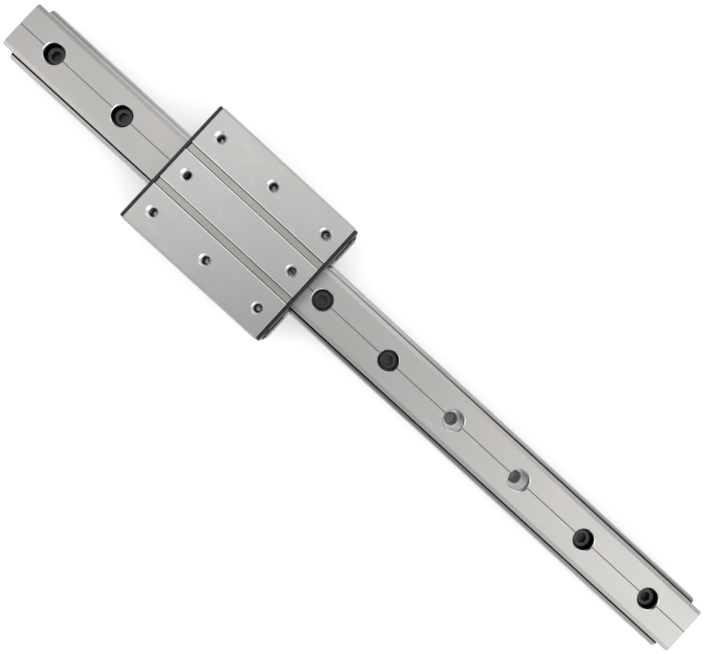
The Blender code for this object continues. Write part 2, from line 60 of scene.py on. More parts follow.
# Rail section
RAIL_FLAT_HALF = 12.6 * MM
RAIL_MARGIN_DROP = 0.7 * MM
RAIL_EDGE = 0.4 * MM
SCRIBE_HALF = 0.3 * MM
SCRIBE_DEPTH = 0.35 * MM
RUNNING_GAP = 0.3 * MM  # left where one part turns or lies in another
HOLE_RADIUS = 3.5 * MM
COUNTERBORE_RADIUS = 6.1 * MM
COUNTERBORE_DEPTH = 10 * MM
RIM_CHAMFER = 0.45 * MM
HOLE_PITCH = 50 * MM
HOLE_COUNT = 10
FIRST_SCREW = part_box("rail_screw_1")
FIRST_HOLE_X = (FIRST_SCREW[0].x + FIRST_SCREW[1].x) / 2
SCREW_PAIRS_X = FIRST_HOLE_X + HOLE_PITCH / 2  # screws are fitted two by two, every fourth pitch from here

# Carriage section
CHANNEL_HALF = 17.75 * MM
CHANNEL_TOP = 26.5 * MM
SLOT = (10.6 * MM, 21.4 * MM)
SLOT_OUTER_Y = 38.4 * MM
TOP_GROOVE = (10.2 * MM, 14.9 * MM)
TOP_GROOVE_DEPTH = 1.2 * MM
FOOT_GROOVE = (21.4 * MM, 23.3 * MM)
FOOT_GROOVE_DEPTH = 1 * MM
SIDE_GROOVE = (16.2 * MM, 17.4 * MM)
SIDE_GROOVE_DEPTH = 0.5 * MM
TOP_CHAMFER = 1.6 * MM
FOOT_CHAMFER = 0.5 * MM
TAPPED_X = 38.1 * MM
TAPPED_Y = 27 * MM
TAPPED_DEPTH = 11.5 * MM
TAPPED_RADIUS = 2.5 * MM
TAPPED_RIM = 3.75 * MM
THREAD_DEPTH = 0.45 * MM
THREAD_PITCH = 1 * MM
LIP_HOLE_RADIUS = 4.3 * MM
TIP_HOLE_RADIUS = 2.5 * MM
TIP_HOLE_TOP = 27.2 * MM
SEAL_HOLE_RADIUS = 1.7 * MM
SEAL_HOLE_DEPTH = 7 * MM
OVERCUT = 1 * MM  # how far a cutting tool reaches past the face that it cuts

# Studs, rollers and their bearings
STUD_END_RADIUS = 3.2 * MM
STUD_COLLAR_RADIUS = 4 * MM
STUD_JOURNAL_RADIUS = 3 * MM
STUD_TIP_RADIUS = 2.2 * MM
STUD_FLATS = 11 * MM
STUD_SOCKET_FLATS = 3 * MM
STUD_SOCKET_DEPTH = 1.8 * MM
ROLLER_GROOVE_RADIUS = 3.3 * MM
ROLLER_RACE_RADIUS = 7.5 * MM
RING_BORE_RADIUS = 3.3 * MM
SHIELD_BORE_RADIUS = 4.6 * MM
BALL_CIRCLE_RADIUS = 5.9 * MM
BALL_RADIUS = 1.3 * MM
BALL_COUNT = 8

# Floor
FLOOR_HALF = 8.0
FLOOR_LEVEL = -0.1 * MM
FLOOR_GLOW = 0.3
FLOOR_TOUCH = 0.5 * MM  # light that leaves a face this close to the sheet passes through it

# Light: each soft area has its direction's x and y, its width and how much it adds
ROOM_LEVEL = 0.85
LEAST_LEVEL = 0.02
LIGHT_STRENGTH = 1.25
SOFT_AREAS = (
    (0.75, -0.10, 0.45, 0.75),
    (-0.05, 0.60, 0.32, 0.30),
    (-0.50, -0.55, 0.35, 0.45),
    (0.10, -0.70, 0.45, -0.60),
    (0.50, 0.55, 0.32, -0.50),
    (-0.80, 0.35, 0.50, -0.85),
    (-0.01, -0.12, 0.18, -1.30),
    (-0.36, 0.12, 0.24, 0.80),
)


def arc(y, z, radius, start, end, steps):
    """Points of an arc about (y, z), between two angles."""
    turns = [start + (end - start) * i / steps for i in range(steps + 1)]
    return [(y + radius * math.cos(t), z + radius * math.sin(t)) for t in turns]


def mirrored(half, middle=()):
    """A whole outline from its +Y half, with any points that lie on the centre line between."""
    return half + list(middle) + [(-y, z) for y, z in reversed(half)]


def mesh_of(name, bm):
    bmesh.ops.recalc_face_normals(bm, faces=bm.faces)
    mesh = bpy.data.meshes.new(name)
    bm.to_mesh(mesh)
    bm.free()
    return mesh


def prism(name, outline, low, high, axis="X"):
    """An outline extruded along X or Z."""
    place = {"X": lambda a, b, c: (c, a, b), "Z": lambda a, b, c: (a, b, c)}[axis]
    bm = bmesh.new()
    ends = [[bm.verts.new(place(a, b, c)) for a, b in outline] for c in (low, high)]
    for i in range(len(outline)):
        j = (i + 1) % len(outline)
        bm.faces.new((ends[0][i], ends[0][j], ends[1][j], ends[1][i]))
    bm.faces.new(ends[0])
    bm.faces.new(reversed(ends[1]))
    return mesh_of(name, bm)


def turned(name, profile, sides=64, ripple=None):
    """Turns (radius, height) points about Z. ripple(radius, height, side) may change a point's radius."""
    bm = bmesh.new()
    rings = []
    for radius, height in profile:
        ring = []
        for i in range(sides if radius else 1):
            angle = 2 * math.pi * i / sides
            r = ripple(radius, height, i) if ripple else radius
            ring.append(bm.verts.new((r * math.cos(angle), r * math.sin(angle), height)))
        rings.append(ring)
    pairs = list(zip(rings, rings[1:]))
    if profile[0][0]:
        pairs.append((rings[-1], rings[0]))
    for low, high in pairs:
        for i in range(sides):
            j = (i + 1) % sides
            corners = [low[i % len(low)], low[j % len(low)], high[j % len(high)], high[i % len(high)]]
            bm.faces.new(list(dict.fromkeys(corners)))
    return mesh_of(name, bm)


def hexagon(name, across_flats, low, high):
    radius = across_flats / math.sqrt(3)
    corners = [(radius * math.cos(math.pi * i / 3), radius * math.sin(math.pi * i / 3)) for i in range(6)]
    return prism(name, corners, low, high, "Z")


def moved(mesh, x=0.0, y=0.0, z=0.0, turn=None):
    copy = mesh.copy()
    copy.transform(Matrix.Translation((x, y, z)) @ (turn or Matrix.Identity(4)))
    return copy


def joined(name, meshes):
    bm = bmesh.new()
    for mesh in meshes:
        bm.from_mesh(mesh)
    return mesh_of(name, bm)


def with_modifiers(mesh, set_up, tool_mesh=None):
    """Evaluates a mesh with the modifiers that set_up adds."""
    body = bpy.data.objects.new("body", mesh)
    made = [body]
    if tool_mesh:
        made.append(bpy.data.objects.new("tool", tool_mesh))
    for item in made:
        bpy.context.scene.collection.objects.link(item)
    set_up(*made)
    result = bpy.data.meshes.new_from_object(body.evaluated_get(bpy.context.evaluated_depsgraph_get()))
    for item in made:
        bpy.data.objects.remove(item, do_unlink=True)
    return result


def combined(mesh, other, operation):
    def set_up(body, tool):
        step = body.modifiers.new("boolean", "BOOLEAN")
        step.operation = operation
        step.solver = "EXACT"
        step.material_mode = "TRANSFER"
        step.object = tool

    return with_modifiers(mesh, set_up, other)


def cut(mesh, *tools, finish=None):
    """Cuts the tools away; with a finish, the cut faces get that material."""
    tool = joined("tools", tools)
    if finish:
        tool.materials.append(finish)
    return combined(mesh, tool, "DIFFERENCE")


def fused(mesh, *others):
    return combined(mesh, joined("others", others), "UNION")


def finished(mesh, material):
    mesh.materials.append(material)
    return mesh


def eased(mesh, width, segments=2, angle=40):
    """Rounds the edges that are sharper than an angle in degrees."""

    def set_up(body):
        step = body.modifiers.new("bevel", "BEVEL")
        step.limit_method = "ANGLE"
        step.angle_limit = math.radians(angle)
        step.width = width
        step.segments = segments
        step.use_clamp_overlap = True

    return with_modifiers(mesh, set_up)


def weighted(mesh, sharp):
    """Gives flat faces flat shading where rounded edges meet them. Edges over sharp degrees stay sharp."""
    mesh.shade_smooth()
    mesh.set_sharp_from_angle(angle=math.radians(sharp))

    def set_up(body):
        step = body.modifiers.new("normals", "WEIGHTED_NORMAL")
        step.keep_sharp = True
        step.weight = 100

    return with_modifiers(mesh, set_up)


def cad_outline(node):
    """A copy of a CAD node's mesh with its triangles joined into flat faces."""
    bm = bmesh.new()
    bm.from_mesh(frame["nodes"][node].data)
    bmesh.ops.remove_doubles(bm, verts=bm.verts, dist=0.005 * MM)
    bmesh.ops.dissolve_limit(bm, angle_limit=math.radians(1), verts=bm.verts, edges=bm.edges)
    return mesh_of(node, bm)


def piece(name, mesh, material, body, nodes, place=(0.0, 0.0, 0.0), sharp=35):
    """Puts a finished piece in the model, for the CAD nodes that it stands for."""
    if not any(mesh.materials):  # a cut without a finish leaves an empty material slot
        mesh.materials.clear()
        mesh.materials.append(material)
    mesh = weighted(mesh, sharp)
    item = bpy.data.objects.new(name, mesh)
    bpy.context.scene.collection.objects.link(item)
    item.location = place
    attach(item, body)
    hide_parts(*nodes)
    return item


class Nodes:
    """Short names for building one material's nodes."""

    def __init__(self, name, metallic=0.0, roughness=0.5, colour=(0.5, 0.5, 0.5)):
        self.material = bpy.data.materials.new(name)
        self.material.use_nodes = True
        self.tree = self.material.node_tree
        self.shader = self.tree.nodes["Principled BSDF"]
        self.shader.inputs["Metallic"].default_value = metallic
        self.shader.inputs["Roughness"].default_value = roughness
        self.shader.inputs["Base Color"].default_value = (*colour, 1)
        self.place = self.add("ShaderNodeTexCoord").outputs["Object"]
        split = self.add("ShaderNodeSeparateXYZ")
        self.link(self.place, split.inputs["Vector"])
        self.x, self.y, self.z = split.outputs
        self.height = None

    def add(self, kind, **settings):
        node = self.tree.nodes.new(kind)
        for key, value in settings.items():
            setattr(node, key, value)
        return node

    def link(self, source, target):
        self.tree.links.new(source, target)

    def stretched(self, x=1.0, y=1.0, z=1.0):
        """Object coordinates scaled by axis: below 1 draws the noise out along that axis."""
        node = self.add("ShaderNodeMapping")
        node.inputs["Scale"].default_value = (x, y, z)
        self.link(self.place, node.inputs["Vector"])
        return node.outputs["Vector"]

    def noise(self, size, detail=3.0, rough=0.5, vector=None):
        """Noise whose blobs are about size metres across."""
        node = self.add("ShaderNodeTexNoise")
        node.inputs["Scale"].default_value = 1 / size
        node.inputs["Detail"].default_value = detail
        node.inputs["Roughness"].default_value = rough
        self.link(vector or self.place, node.inputs["Vector"])
        return node.outputs["Fac"]

    def math(self, operation, first, second=0.0, clamp=False):
        node = self.add("ShaderNodeMath", operation=operation, use_clamp=clamp)
        for socket, value in zip(node.inputs, (first, second)):
            if isinstance(value, (int, float)):
                socket.default_value = value
            else:
                self.link(value, socket)
        return node.outputs[0]

    def ramp(self, value, low, high, to_low=0.0, to_high=1.0):
        """Maps low..high to to_low..to_high, held at both ends."""
        node = self.add("ShaderNodeMapRange")
        self.link(value, node.inputs["Value"])
        for key, number in (("From Min", low), ("From Max", high), ("To Min", to_low), ("To Max", to_high)):
            node.inputs[key].default_value = number
        return node.outputs["Result"]

    def mix(self, factor, first, second, blend="MIX"):
        node = self.add("ShaderNodeMix", data_type="RGBA", blend_type=blend)
        self.link(factor, node.inputs["Factor"])
        for socket, value in ((node.inputs["A"], first), (node.inputs["B"], second)):
            if isinstance(value, tuple):
                socket.default_value = (*value, 1)
            else:
                self.link(value, socket)
        return node.outputs["Result"]

    def colour(self, socket):
        self.link(socket, self.shader.inputs["Base Color"])

    def roughness(self, socket):
        self.link(socket, self.shader.inputs["Roughness"])

    def bump(self, height, distance, strength=1.0):
        """Adds a bump layer, distance metres deep."""
        node = self.add("ShaderNodeBump")
        node.inputs["Strength"].default_value = strength
        node.inputs["Distance"].default_value = distance
        self.link(height, node.inputs["Height"])
        if self.height:
            self.link(self.height, node.inputs["Normal"])
        self.height = node.outputs["Normal"]
        self.link(self.height, self.shader.inputs["Normal"])


def blasted_aluminium():
    """Fine blasted and anodised, with faint warm and cool patches.

    The top grooves' edges get a painted highlight. Their floors, with painted shade in the corners, and the
    sides are as extruded.
    """
    look = Nodes("blasted_aluminium", metallic=1.0)
    grain = look.noise(0.35 * MM, 4, 0.65)
    patches = look.noise(22 * MM, 2, 0.5)
    rubbed = look.ramp(look.noise(5 * MM, 3, 0.6, look.stretched(0.35, 1, 1)), 0.58, 0.72)
    tone = look.mix(look.ramp(patches, 0.35, 0.65), (0.515, 0.520, 0.505), (0.545, 0.530, 0.520))
    tone = look.mix(look.ramp(grain, 0.3, 0.7, 0.0, 0.35), tone, (0.47, 0.47, 0.46))
    tone = look.mix(look.math("MULTIPLY", rubbed, 0.4), tone, (0.60, 0.60, 0.59))
    across = look.math("ABSOLUTE", look.y)
    groove_middle = (TOP_GROOVE[0] + TOP_GROOVE[1]) / 2
    groove_half = (TOP_GROOVE[1] - TOP_GROOVE[0]) / 2
    from_middle = look.math("ABSOLUTE", look.math("SUBTRACT", across, groove_middle))
    from_edge = look.math("ABSOLUTE", look.math("SUBTRACT", from_middle, groove_half))
    # painted highlight: a bright band along both edges of each top groove
    edge_highlight = look.math("LESS_THAN", from_edge, 0.6 * MM)
    tone = look.mix(look.math("MULTIPLY", edge_highlight, 0.8), tone, (0.85, 0.85, 0.84))
    low = look.ramp(look.z, BLOCK_HIGH.z - 0.5 * MM, BLOCK_HIGH.z - 0.3 * MM, 1.0, 0.0)
    in_groove = look.math("MULTIPLY", low, look.math("LESS_THAN", from_middle, groove_half + 0.1 * MM))
    lines = look.noise(0.4 * MM, 3, 0.6, look.stretched(0.02, 1, 1))
    extruded = look.mix(look.ramp(lines, 0.3, 0.7), (0.34, 0.34, 0.325), (0.46, 0.46, 0.44))
    # painted shade: the groove floor darkens towards its walls, into the corners
    corner = look.ramp(from_middle, groove_half - 0.7 * MM, groove_half - 0.3 * MM, 0.0, 0.9)
    floor_with_corner_shade = look.mix(corner, extruded, (0.06, 0.06, 0.058))
    tone = look.mix(in_groove, tone, floor_with_corner_shade)
    sides = look.math("GREATER_THAN", across, BLOCK_HIGH.y - TOP_CHAMFER + 0.05 * MM)
    look.colour(look.mix(sides, tone, extruded))
    uneven = look.math("ADD", grain, look.math("MULTIPLY", rubbed, -0.25))
    look.roughness(look.ramp(uneven, 0.2, 0.8, 0.30, 0.40))
    look.bump(grain, 0.02 * MM, 0.5)
    return look.material


def rail_aluminium():
    """Drawn and anodised: fine lines along the rail over a light grain, and painted shade behind the shafts.
    """
    look = Nodes("rail_aluminium", metallic=1.0)
    lines = look.noise(0.5 * MM, 3, 0.6, look.stretched(0.01, 1, 1))
    grain = look.noise(0.3 * MM, 3, 0.6)
    patches = look.noise(25 * MM, 2, 0.5, look.stretched(0.6, 1, 1))
    tone = look.mix(look.ramp(patches, 0.35, 0.65), (0.495, 0.500, 0.482), (0.530, 0.510, 0.500))
    tone = look.mix(look.ramp(lines, 0.35, 0.7, 0.0, 0.3), tone, (0.43, 0.425, 0.415))
    scuffs = look.ramp(look.noise(4 * MM, 4, 0.6, look.stretched(0.25, 1, 1)), 0.62, 0.74, 0.0, 0.5)
    tone = look.mix(scuffs, tone, (0.58, 0.58, 0.57))
    shaft_z = (SHAFT_LOW.z + SHAFT_HIGH.z) / 2
    upper = look.math("GREATER_THAN", look.z, shaft_z)
    central = look.math("LESS_THAN", look.math("ABSOLUTE", look.y), 0.8 * SCRIBE_HALF)
    # painted shade: the scribe groove on the top is darkened
    scribe_shade = look.math("MULTIPLY", upper, central)
    tone = look.mix(scribe_shade, tone, (0.22, 0.21, 0.20))
    # painted shade: the rail's sides at shaft height, round the shafts' grooves, are darkened
    from_shaft = look.math("ABSOLUTE", look.math("SUBTRACT", look.z, shaft_z))
    in_groove = look.ramp(from_shaft, 3.2 * MM, 4.5 * MM, 1.0, 0.0)
    outer = look.math("GREATER_THAN", look.math("ABSOLUTE", look.y), COUNTERBORE_RADIUS + RIM_CHAMFER)
    look.colour(look.mix(look.math("MULTIPLY", in_groove, outer), tone, (0.10, 0.10, 0.095)))
    look.roughness(look.ramp(grain, 0.25, 0.75, 0.33, 0.45))
    look.bump(lines, 0.015 * MM, 0.4)
    look.bump(grain, 0.01 * MM, 0.4)
    return look.material


def machined(name, top, deep_shade_tone, shade_round_screws):
    """Bare cut aluminium in holes: fine tool rings, painted shade that darkens them with depth, and painted
    shade round the rail's screws.
    """
    look = Nodes(name, metallic=1.0)
    rings = look.noise(0.25 * MM, 3, 0.6, look.stretched(0.1, 0.1, 1))
    # painted shade: the holes' walls darken with depth below the top
    depth = look.ramp(look.z, top - 9 * MM, top - 0.6 * MM)
    tone = look.mix(depth, (deep_shade_tone, deep_shade_tone, deep_shade_tone), (0.85, 0.85, 0.84))
    tone = look.mix(look.ramp(rings, 0.35, 0.7, 0.0, 0.4), tone, (0.52, 0.52, 0.51))
    if shade_round_screws:
        # painted shade: the counterbore walls round the fitted screws' heads are darkened
        wave = look.math("MULTIPLY", look.math("SUBTRACT", look.x, SCREW_PAIRS_X), math.pi / (2 * HOLE_PITCH))
        screwed = look.math("GREATER_THAN", look.math("COSINE", wave), 0.0)
        below = look.ramp(look.z, top - 3 * MM, top - 0.8 * MM, 1.0, 0.0)
        tone = look.mix(look.math("MULTIPLY", screwed, below), tone, (0.095, 0.097, 0.10))
    look.colour(tone)
    look.roughness(look.ramp(rings, 0.3, 0.7, 0.18, 0.30))
    look.bump(rings, 0.01 * MM, 0.5)
    return look.material


def ground_steel(side, way, shade_start, shade_full):
    """Hardened and ground shafting. A line of painted shade beside the rail thickens from one place to
    another.
    """
    look = Nodes(f"ground_steel_{side}", metallic=1.0)
    hoops = look.noise(0.4 * MM, 3, 0.6, look.stretched(1, 0.05, 0.05))
    smears = look.noise(9 * MM, 3, 0.55, look.stretched(0.3, 1, 1))
    tone = look.mix(look.ramp(smears, 0.4, 0.7), (0.42, 0.42, 0.415), (0.35, 0.345, 0.33))
    tone = look.mix(look.ramp(hoops, 0.3, 0.7, 0.0, 0.3), tone, (0.48, 0.48, 0.48))
    # painted shade: a dark line along the shaft next to the rail's wall, growing along the rail
    wander = look.ramp(smears, 0.3, 0.7, -0.1 * MM, 0.1 * MM)
    outward = look.math("ADD", look.math("MULTIPLY", look.y, way), wander)
    beside = look.ramp(outward, 0.45 * MM, 0.9 * MM, 1.0, 0.0)
    spread = look.ramp(look.x, shade_start, shade_full)
    look.colour(look.mix(look.math("MULTIPLY", beside, spread), tone, (0.012, 0.012, 0.011)))
    look.roughness(look.ramp(smears, 0.3, 0.7, 0.10, 0.18))
    look.bump(hoops, 0.006 * MM, 0.5)
    return look.material


def round_steel(name, light, dark, roughness):
    """Turned and ground bearing steel: rings about the piece's own axis."""
    look = Nodes(name, metallic=1.0)
    flat = look.add("ShaderNodeCombineXYZ")
    look.link(look.x, flat.inputs["X"])
    look.link(look.y, flat.inputs["Y"])
    length = look.add("ShaderNodeVectorMath", operation="LENGTH")
    look.link(flat.outputs["Vector"], length.inputs["Vector"])
    spun = look.add("ShaderNodeCombineXYZ")
    look.link(length.outputs["Value"], spun.inputs["X"])
    look.link(look.z, spun.inputs["Y"])
    rings = look.noise(0.12 * MM, 3, 0.6, spun.outputs["Vector"])
    stains = look.noise(3 * MM, 3, 0.55)
    tone = look.mix(look.ramp(rings, 0.3, 0.7), light, dark)
    look.colour(look.mix(look.ramp(stains, 0.5, 0.75, 0.0, 0.35), tone, dark))
    look.roughness(look.ramp(stains, 0.3, 0.7, roughness, roughness + 0.1))
    look.bump(rings, 0.006 * MM, 0.5)
    return look.material


def black_oxide():
    """Blackened screw steel: a thin brown cast, oily patches and brighter rubbed grains."""
    look = Nodes("black_oxide", metallic=0.85)
    grain = look.noise(0.25 * MM, 4, 0.65)
    cast = look.noise(2.5 * MM, 3, 0.5)
    tone = look.mix(look.ramp(cast, 0.35, 0.65), (0.046, 0.048, 0.052), (0.062, 0.058, 0.056))
    look.colour(look.mix(look.ramp(grain, 0.62, 0.78, 0.0, 0.6), tone, (0.14, 0.14, 0.14)))
    look.roughness(look.ramp(cast, 0.3, 0.7, 0.30, 0.44))
    look.bump(grain, 0.02 * MM, 0.5)
    return look.material


def seal_plastic():
    """Moulded black plastic with a fine spark-eroded skin and a little dust."""
    look = Nodes("seal_plastic")
    skin = look.noise(0.3 * MM, 3, 0.7)
    dust = look.ramp(look.noise(1.2 * MM, 5, 0.7), 0.60, 0.78, 0.0, 0.25)
    tone = look.mix(look.ramp(look.noise(12 * MM, 2), 0.3, 0.7), (0.006, 0.006, 0.007), (0.011, 0.011, 0.012))
    look.colour(look.mix(dust, tone, (0.05, 0.05, 0.05)))
    look.roughness(look.ramp(skin, 0.3, 0.7, 0.26, 0.40))
    look.bump(skin, 0.01 * MM, 0.4)
    return look.material


def wool_felt():
    """Pressed felt: short crossed fibres over soft lumps, with a trace of oil."""
    look = Nodes("wool_felt", roughness=0.95)
    look.shader.inputs["Sheen Weight"].default_value = 0.35
    fibres = look.noise(0.18 * MM, 4, 0.7, look.stretched(0.4, 1, 1))
    crossed = look.noise(0.18 * MM, 4, 0.7, look.stretched(1, 1, 0.35))
    lumps = look.noise(1.4 * MM, 2, 0.5)
    weave = look.math("MAXIMUM", fibres, crossed)
    tone = look.mix(look.ramp(weave, 0.35, 0.75), (0.46, 0.44, 0.40), (0.80, 0.78, 0.74))
    look.colour(look.mix(look.ramp(lumps, 0.55, 0.8, 0.0, 0.4), tone, (0.55, 0.50, 0.40)))
    look.bump(lumps, 0.12 * MM, 0.6)
    look.bump(weave, 0.08 * MM, 0.9)
    return look.material


def zinc_plate():
    """Bright zinc on the washers, with clouded passivation."""
    look = Nodes("zinc_plate", metallic=1.0)
    clouds = look.noise(2 * MM, 3, 0.6)
    grain = look.noise(0.2 * MM, 3, 0.6)
    tone = look.mix(look.ramp(clouds, 0.35, 0.65), (0.62, 0.63, 0.64), (0.66, 0.645, 0.60))
    look.colour(look.mix(look.ramp(grain, 0.4, 0.75, 0.0, 0.3), tone, (0.50, 0.50, 0.50)))
    look.roughness(look.ramp(clouds, 0.3, 0.7, 0.20, 0.34))
    look.bump(grain, 0.01 * MM, 0.5)
    return look.material


def threaded(radius, low, high, depth, pitch):
    """Profile points of a thread, from low to high; a negative depth cuts inwards."""
    points = []
    turns = max(1, int((high - low) / pitch))
    start = high - turns * pitch
    for i in range(turns):
        z = start + i * pitch
        points += [(radius, z), (radius + depth, z + 0.44 * pitch), (radius + depth, z + 0.56 * pitch)]
    return points + [(radius, high)]


def rail_profile():
    """The half runs up from the foot, round the shaft's groove and over the sloping margin to the scribe."""
    shaft_y = (SHAFT_LOW.y + SHAFT_HIGH.y) / 2
    shaft_z = (SHAFT_LOW.z + SHAFT_HIGH.z) / 2
    groove = (SHAFT_HIGH.z - SHAFT_LOW.z) / 2 + RUNNING_GAP
    wall, top = RAIL_HIGH.y, RAIL_HIGH.z
    reach = math.acos((wall - shaft_y) / groove)
    shoulder = top - RAIL_MARGIN_DROP
    half = [(wall - RAIL_EDGE, 0), (wall, RAIL_EDGE)]
    half += arc(shaft_y, shaft_z, groove, -reach, reach - 2 * math.pi, 28)
    half += arc(wall - RAIL_EDGE, shoulder - RAIL_EDGE, RAIL_EDGE, 0, math.radians(73), 6)
    half += [(RAIL_FLAT_HALF, top), (SCRIBE_HALF, top)]
    return mirrored(half, [(0, top - SCRIBE_DEPTH)])


def rail_drill():
    """Cuts one counterbored hole, with its rims chamfered."""
    floor = RAIL_HIGH.z - COUNTERBORE_DEPTH
    return turned(
        "drill",
        [
            (0, -OVERCUT),
            (HOLE_RADIUS + RIM_CHAMFER + OVERCUT, -OVERCUT),
            (HOLE_RADIUS, RIM_CHAMFER),
            (HOLE_RADIUS, floor - RIM_CHAMFER),
            (HOLE_RADIUS + RIM_CHAMFER, floor),
            (COUNTERBORE_RADIUS, floor),
            (COUNTERBORE_RADIUS, RAIL_HIGH.z - RIM_CHAMFER),
            (COUNTERBORE_RADIUS + RIM_CHAMFER + OVERCUT, RAIL_HIGH.z + OVERCUT),
            (0, RAIL_HIGH.z + OVERCUT),
        ],
        72,
    )


def make_rail(aluminium, cut_metal, steels):
    """The drilled rail and its two shafts. The margins slope little, so small angles count as sharp."""
    body = finished(prism("rail", rail_profile(), RAIL_LOW.x, RAIL_HIGH.x), aluminium)
    drill = rail_drill()
    drills = [moved(drill, x=FIRST_HOLE_X + i * HOLE_PITCH) for i in range(HOLE_COUNT)]
    body = cut(eased(body, 0.3 * MM, 2, 60), *drills, finish=cut_metal)
    piece("rail", body, aluminium, "rail", ["rail_extrusion"], sharp=14)

    for side in SIDES:
        node = f"shaft_{side}"
        low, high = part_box(node)
        half = (high.x - low.x) / 2
        radius = (high.z - low.z) / 2
        ease = 1 * MM
        end = [(radius - ease + ease * math.sin(t), -half + ease - ease * math.cos(t))
               for t in [math.pi / 2 * i / 6 for i in range(7)]]
        profile = [(0, -half)] + end + [(r, -z) for r, z in reversed(end)] + [(0, half)]
        mesh = moved(turned("shaft", profile), turn=Matrix.Rotation(math.pi / 2, 4, "Y"))
        piece(f"rail_{node}", mesh, steels[side], "rail", [node], (low + high) / 2)


def cap_screw_mesh(low, high):
    """A socket head screw between two heights, with a knurled head and a threaded shank."""
    head_radius, head_height, shank = 5 * MM, 6 * MM, 3 * MM
    rest = high - head_height
    knurls = 48
    edge = arc(head_radius - 0.5 * MM, high - 0.5 * MM, 0.5 * MM, 0, math.pi / 2, 4)
    thread = threaded(shank - THREAD_DEPTH, low + 0.4 * MM, rest - 1 * MM, THREAD_DEPTH, THREAD_PITCH)
    profile = [(0, low), (shank - 0.7 * MM, low)] + thread
    profile += [(shank, rest - 0.7 * MM), (shank, rest), (head_radius - 0.3 * MM, rest)]
    profile += [(head_radius, rest + 0.3 * MM)] + edge + [(3.1 * MM, high), (0, high)]

    def knurl(radius, height, side):
        on_side = abs(radius - head_radius) < 0.01 * MM and height < high - 0.45 * MM
        return radius - (0.12 * MM if on_side and side % 2 else 0)

    socket = fused(
        hexagon("socket", 5 * MM, high - 3 * MM, high + 1 * MM),
        turned("lead", [(0, high - 0.35 * MM), (2.55 * MM, high - 0.35 * MM), (3.4 * MM, high + 0.5 * MM),
                        (0, high + 0.5 * MM)]),
        turned("tip", [(0, high - 4.2 * MM), (2.4 * MM, high - 2.9 * MM), (0, high - 2.9 * MM)]),
    )
    return cut(turned("cap_screw", profile, 2 * knurls, knurl), socket)


def make_rail_screws(black):
    nodes = sorted(node for node in frame["nodes"] if node.startswith("rail_screw_"))
    low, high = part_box(nodes[0])
    middle = (low.z + high.z) / 2
    mesh = cap_screw_mesh(low.z - middle, high.z - middle)
    for node in nodes:
        low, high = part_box(node)
        name = node.replace("rail_screw", "cap_screw")
        turn = math.radians(37 * int(node.rsplit("_", 1)[1]))
        turned_mesh = moved(mesh, turn=Matrix.Rotation(turn, 4, "Z"))
        piece(name, turned_mesh, black, "rail", [node], (low + high) / 2)


def block_profile():
    bottom, top, side = BLOCK_LOW.z, BLOCK_HIGH.z, BLOCK_HIGH.y
    lip = 0.4 * MM
    return mirrored(
        [
            (CHANNEL_HALF - 0.8 * MM, CHANNEL_TOP),
            (CHANNEL_HALF, CHANNEL_TOP - 0.8 * MM),
            (CHANNEL_HALF, SLOT[1]),
            (SLOT_OUTER_Y, SLOT[1]),
            (SLOT_OUTER_Y, SLOT[0]),
            (CHANNEL_HALF, SLOT[0]),
            (CHANNEL_HALF, bottom + lip),
            (CHANNEL_HALF + lip, bottom),
            (FOOT_GROOVE[0], bottom),
            (FOOT_GROOVE[0], bottom + FOOT_GROOVE_DEPTH),
            (FOOT_GROOVE[1], bottom + FOOT_GROOVE_DEPTH),
            (FOOT_GROOVE[1], bottom),
            (side - FOOT_CHAMFER, bottom),
            (side, bottom + FOOT_CHAMFER),
            (side, SIDE_GROOVE[0]),
            (side - SIDE_GROOVE_DEPTH, SIDE_GROOVE[0]),
            (side - SIDE_GROOVE_DEPTH, SIDE_GROOVE[1]),
            (side, SIDE_GROOVE[1]),
            (side, top - TOP_CHAMFER),
            (side - TOP_CHAMFER, top),
            (TOP_GROOVE[1], top),
            (TOP_GROOVE[1], top - TOP_GROOVE_DEPTH),
            (TOP_GROOVE[0], top - TOP_GROOVE_DEPTH),
            (TOP_GROOVE[0], top),
        ]
    )


def tapped_drill(through):
    """A threaded hole from the carriage's top face, blind or through to the channel."""
    top = BLOCK_HIGH.z
    sink = TAPPED_RIM - TAPPED_RADIUS
    mouth = [(TAPPED_RADIUS, top - sink), (TAPPED_RIM + OVERCUT, top + OVERCUT), (0, top + OVERCUT)]
    if through:
        foot_chamfer = 0.8 * MM
        low = CHANNEL_TOP + foot_chamfer
        under = CHANNEL_TOP - OVERCUT
        foot = [(0, under), (TAPPED_RADIUS + foot_chamfer + OVERCUT, under)]
    else:
        drill_point = 1.2 * MM
        low = top - TAPPED_DEPTH
        foot = [(0, low - drill_point)]
    thread = threaded(TAPPED_RADIUS, low, top - sink, THREAD_DEPTH, THREAD_PITCH)
    return turned("tapped", foot + [(TAPPED_RADIUS, low)] + thread[:-1] + mouth, 48)


def plain_drill(radius, low, high, sides=48):
    return turned("drill", [(0, low), (radius, low), (radius, high), (0, high)], sides)


def stud_place(end, side):
    """Turning axis of a stud: its own joint's on the eccentric side, the roller's on the other."""
    name = f"roller_{end}_{side}_spin" if side == "left" else f"eccentric_{end}_adjust"
    return Vector(JOINTS[name]["pos_m"])


